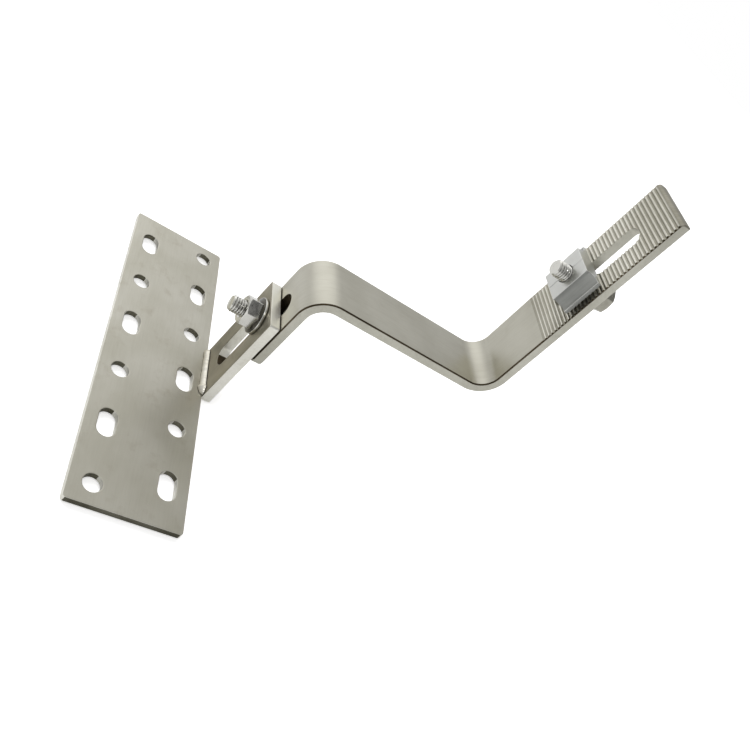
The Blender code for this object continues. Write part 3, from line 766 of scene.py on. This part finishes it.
def hexWithFlange(name, usual):
    # upright at the origin, bearing face down, corners on X
    height = fastener["height"]
    rim = fastener["flangeRim"]
    sides = roundSides["flange"]
    corner = fastener["acrossFlats"] / math.sqrt(3)
    bpy.ops.mesh.primitive_cylinder_add(vertices=6, radius=corner, depth=height - rim / 2,
                                        location=(0, 0, (height + rim / 2) / 2), rotation=(0, 0, math.pi / 2))
    body = newest(name)
    bevelEdges(body, lambda a, b: abs(a.z - b.z) > height / 2, fastener["edge"], fastener["edgeSteps"])
    crown = fastener["crownShare"] * fastener["acrossFlats"] / 2
    spread = height * 2
    bpy.ops.mesh.primitive_cone_add(vertices=sides, radius1=crown + spread / math.tan(fastener["crownAngle"]),
                                    radius2=crown, depth=spread, location=(0, 0, height - spread / 2))
    cut(body, newest("crown"), "INTERSECT")
    outer = fastener["flange"] / 2
    inner = crown / 2
    bpy.ops.mesh.primitive_cylinder_add(vertices=sides, radius=outer, depth=rim, location=(0, 0, rim / 2))
    flange = newest("flange")
    editFaces(flange, lambda at, normal: normal.z > squarely)
    slopeHeight = (outer - inner) * math.tan(fastener["flangeSlope"])
    bpy.ops.mesh.extrude_region_move(TRANSFORM_OT_translate={"value": (0, 0, slopeHeight)})
    bpy.ops.transform.resize(value=(inner / outer, inner / outer, 1))
    leaveEdit()

    def onRim(a, b):
        return min(a.xy.length, b.xy.length) > outer * nearly and abs(a.z - b.z) < rim / 2

    def onSlope(at, normal):
        least, most = fastener["slopeFacing"]
        return least < normal.z < most and at.z < height * fastener["slopeShare"]

    bevelEdges(flange, onRim, fastener["rimEdge"], fastener["edgeSteps"])
    cut(body, flange, "UNION")
    setFinish(body, usual)
    # painted shade on the flange's slope
    addFinish(body, "flangeShade", onSlope)
    addFinish(body, "bearing", lambda at, normal: normal.z < -squarely and at.z < rim / 2)
    return body


def domedHead(name):
    # upright at the origin, bearing face down, with the square neck that keeps it from turning below
    reach = dome["width"] / 2
    height = dome["height"]
    rise = height - dome["rim"]
    radius = (reach ** 2 + rise ** 2) / (2 * rise)
    sides = roundSides["flange"]
    bpy.ops.mesh.primitive_uv_sphere_add(segments=sides, ring_count=dome["rings"], radius=radius,
                                         location=(0, 0, height - radius))
    body = newest(name)
    bpy.ops.mesh.primitive_cylinder_add(vertices=sides, radius=reach, depth=height * 2,
                                        location=(0, 0, height))
    cut(body, newest("rim"), "INTERSECT")
    softenEdges(body, fastener["rimEdge"], angle=dome["rimAngle"])
    drop = dome["neckDepth"] + rise / 2
    bpy.ops.mesh.primitive_cube_add(size=1, location=(0, 0, rise / 2 - drop / 2),
                                    scale=(dome["neck"], dome["neck"], drop))
    neck = newest("neck")
    bevelEdges(neck, lambda a, b: abs(a.z - b.z) > drop / 2, dome["neckEdge"], dome["neckSteps"])
    cut(body, neck, "UNION")
    editPoints(body, lambda at: True)
    bpy.ops.mesh.remove_doubles(threshold=dome["weldWithin"])
    leaveEdit()
    setFinish(body, "fastener")
    return body


def threadedShank():
    # hangs down from the bearing face; its side is cut into level rings, pushed in along the thread's helix
    radius = shank["diameter"] / 2
    pitch = shank["pitch"]
    length = shank["length"]
    buried = fastener["flangeRim"] * 2
    total = length + buried
    bpy.ops.mesh.primitive_cylinder_add(vertices=roundSides["shank"], radius=radius, depth=total,
                                        location=(0, 0, buried - total / 2))
    rod = newest("shank")
    setFinish(rod, "fastener")
    editFaces(rod, lambda at, normal: normal.z < -squarely)
    bpy.ops.mesh.inset(thickness=radius * shank["endRim"])
    bpy.ops.mesh.inset(thickness=radius * shank["endDish"])
    bpy.ops.transform.translate(value=(0, 0, shank["dimple"]))
    editEdges(rod, lambda a, b: abs(a.z - b.z) > total / 2)
    bpy.ops.mesh.subdivide(number_cuts=round(total / pitch * shank["rings"]))
    leaveEdit()
    for point in rod.data.vertices:
        reach = point.co.xy.length
        if reach < radius * nearly:
            continue
        turn = point.co.z / pitch + math.atan2(point.co.y, point.co.x) / math.tau
        groove = (0.5 - 0.5 * math.cos(math.tau * turn)) ** shank["crestWidth"] * shank["threadDepth"]
        fromEnd = min(1.0, (point.co.z + length) / shank["endChamfer"])
        tapered = radius - max(groove, shank["threadDepth"] * shank["endDepth"] * (1 - fromEnd))
        point.co.x *= tapered / reach
        point.co.y *= tapered / reach
    return rod


def nutBore(nut):
    tall = fastener["height"]
    wide = fastener["bore"] + fastener["boreChamfer"]
    sides = roundSides["bore"]
    bpy.ops.mesh.primitive_cylinder_add(vertices=sides, radius=fastener["bore"], depth=tall * 2,
                                        location=(0, 0, tall / 2))
    cut(nut, newest("bore"))
    bpy.ops.mesh.primitive_cone_add(vertices=sides, radius1=wide - tall / 2, radius2=wide + tall / 2,
                                    depth=tall, location=(0, 0, tall))
    cut(nut, newest("countersink"))


def finishFastener(piece, place, turn, body, node):
    smoothed(piece, fastener["smoothAngle"])
    settle(piece, place, turn)
    handOver(piece, body, node)


def makeFasteners():
    headLow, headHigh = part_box("bracket_bolt")
    height = (headLow.z + headHigh.z) / 2
    bolt = joined(domedHead("bracketBolt"), threadedShank())
    finishFastener(bolt, (headHigh.x - dome["height"], 0, height), (0, math.pi / 2, 0),
                   "bracket_fastener", "bracket_bolt")
    nut = hexWithFlange("bracketNut", "fastener")
    nutBore(nut)
    finishFastener(nut, (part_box("bracket_nut")[1].x, 0, height), (0, -math.pi / 2, 0),
                   "bracket_fastener", "bracket_nut")
    clampBolt = joined(hexWithFlange("clampBolt", "bearing"), threadedShank())
    finishFastener(clampBolt, onArmTop(-clamp["fromTip"], arm["thickness"] + clamp["headGap"]),
                   (0, math.pi / 2 - arm["lean"], 0), "clamp", "clamp_bolt")


makeFasteners()


# Studio: a white floor in a white room, soft lamps, and one dark card for the metal to show

studio = {"floorSize": 30.0, "floorDrop": 0.0009, "floorColor": (0.8, 0.8, 0.8), "seenColor": (1.0, 1.0, 1.0),
          "floorGlow": 0.53, "inMetal": 0.15, "lightFrom": (-0.27, 0.85, 0.46), "aim": (0.05, 0, 0.08)}
lamps = {"window": {"place": (-0.36, 1.3, 0.93), "size": 1.3, "power": 2.2},
         "overhead": {"place": (-0.38, -0.42, 1.25), "size": 0.35, "power": 2.2}}
daylight = {"from": (-0.45, 0.75, 0.75), "strength": 1.5, "angle": 0.8}
worldLevels = {0.0: 0.36, 0.45: 0.44, 0.75: 0.66, 0.9: 0.86, 1.0: 0.93}      # brightest towards the light
topCard = {"size": (0.55, 0.55), "place": (0.65, -0.17, 1.1), "turn": (0, 0.5, 0), "tone": 0.04,
           "roughness": 0.9}


def cameraShare(nodes, link):
    # all of the white for the camera, and a share of it in the metal
    path = newNode(nodes, "LightPath")
    mirrored = newNode(nodes, "Math", operation="MAXIMUM")
    share = newNode(nodes, "Math", {1: studio["inMetal"]}, operation="MULTIPLY")
    seen = newNode(nodes, "Math", operation="MAXIMUM")
    link(path.outputs["Is Glossy Ray"], mirrored.inputs[0])
    link(path.outputs["Is Transmission Ray"], mirrored.inputs[1])
    link(mirrored.outputs[0], share.inputs[0])
    link(path.outputs["Is Camera Ray"], seen.inputs[0])
    link(share.outputs[0], seen.inputs[1])
    return seen.outputs[0]


def floorMaterial():
    # seen by the camera and in the metal it glows a little, so it stays white yet takes the shadow
    material = bpy.data.materials.new("white floor")
    material.use_nodes = True
    nodes = material.node_tree.nodes
    link = material.node_tree.links.new
    nodes.remove(nodes["Principled BSDF"])
    paint = newNode(nodes, "BsdfDiffuse", {"Color": (*studio["floorColor"], 1.0)})
    white = newNode(nodes, "BsdfDiffuse", {"Color": (*studio["seenColor"], 1.0)})
    glow = newNode(nodes, "Emission", {"Strength": studio["floorGlow"]})
    both = newNode(nodes, "AddShader")
    choose = newNode(nodes, "MixShader")
    link(glow.outputs[0], both.inputs[0])
    link(white.outputs[0], both.inputs[1])
    link(cameraShare(nodes, link), choose.inputs["Fac"])
    link(paint.outputs[0], choose.inputs[1])
    link(both.outputs[0], choose.inputs[2])
    link(choose.outputs[0], nodes["Material Output"].inputs["Surface"])
    return material


def makeFloor():
    bpy.ops.object.select_all(action="DESELECT")
    bpy.ops.mesh.primitive_plane_add(size=studio["floorSize"], location=(0, 0, -studio["floorDrop"]))
    floor = newest("floor")
    floor.data.materials.append(floorMaterial())


def makeCard():
    # a dark card that only the metal sees, as a photographer stands it over shiny things
    bpy.ops.mesh.primitive_plane_add(size=1, location=topCard["place"], rotation=topCard["turn"])
    sheet = bpy.context.object
    sheet.name = "topCard"
    sheet.scale = (*topCard["size"], 1)
    sheet.visible_camera = False
    sheet.visible_shadow = False
    sheet.visible_diffuse = False
    cloth = bpy.data.materials.new("topCard")
    cloth.use_nodes = True
    shader = cloth.node_tree.nodes["Principled BSDF"]
    tone = topCard["tone"]
    shader.inputs["Base Color"].default_value = (tone, tone, tone, 1.0)
    shader.inputs["Roughness"].default_value = topCard["roughness"]
    sheet.data.materials.append(cloth)


def hangLamp(name, kind, power, place, target):
    lamp = bpy.data.lights.new(name, kind)
    lamp.energy = power
    holder = bpy.data.objects.new(name, lamp)
    bpy.context.scene.collection.objects.link(holder)
    holder.location = place
    holder.rotation_euler = (Vector(target) - Vector(place)).to_track_quat("-Z", "Y").to_euler()
    return holder


def makeLamps():
    for name, soft in lamps.items():
        holder = hangLamp(name, "AREA", soft["power"], soft["place"], studio["aim"])
        holder.data.shape = "SQUARE"
        holder.data.size = soft["size"]
    # soft daylight, which draws the shadows on the floor and isn't mirrored in the metal
    sky = hangLamp("daylight", "SUN", daylight["strength"], daylight["from"], (0, 0, 0))
    sky.data.angle = daylight["angle"]
    sky.visible_glossy = False


def makeWorld():
    # a white room, brightest round the window side
    world = bpy.data.worlds.new("studio")
    world.use_nodes = True
    nodes = world.node_tree.nodes
    link = world.node_tree.links.new
    coords = newNode(nodes, "TexCoord")
    lightFrom = Vector(studio["lightFrom"]).normalized()
    nearness = newNode(nodes, "VectorMath", {1: lightFrom}, operation="DOT_PRODUCT")
    ramp = newNode(nodes, "ValToRGB")
    levels = list(worldLevels.items())
    for place, level in levels[1:-1]:
        ramp.color_ramp.elements.new(place)
    for element, (place, level) in zip(ramp.color_ramp.elements, levels):
        element.position = place
        element.color = (level, level, level, 1.0)
    white = tintNode(nodes, (1.0, 1.0, 1.0))
    link(coords.outputs["Generated"], nearness.inputs[0])
    link(nearness.outputs["Value"], ramp.inputs["Fac"])
    link(cameraShare(nodes, link), white.inputs["Factor"])
    link(ramp.outputs["Color"], white.inputs["A"])
    link(white.outputs["Result"], nodes["Background"].inputs["Color"])
    bpy.context.scene.world = world


# The camera stands where the photographer's stood

view = {"lens": 35.776, "sensor": 36.0, "shift": (-0.01047, -0.01217), "nearest": 0.01,
        "place": (-0.09182, -0.25232, 0.24653), "turn": (47.236, -40.197, -5.138)}


def makeCamera():
    lens = bpy.data.cameras.new("camera")
    lens.lens = view["lens"]
    lens.sensor_width = view["sensor"]
    lens.shift_x, lens.shift_y = view["shift"]
    lens.clip_start = view["nearest"]
    camera = bpy.data.objects.new("camera", lens)
    camera.location = view["place"]
    camera.rotation_euler = [math.radians(angle) for angle in view["turn"]]
    bpy.context.scene.collection.objects.link(camera)
    bpy.context.scene.camera = camera
    bpy.context.scene.view_settings.view_transform = "Standard"


makeFloor()
makeCard()
makeLamps()
makeWorld()
makeCamera()
print("studio and camera ready")
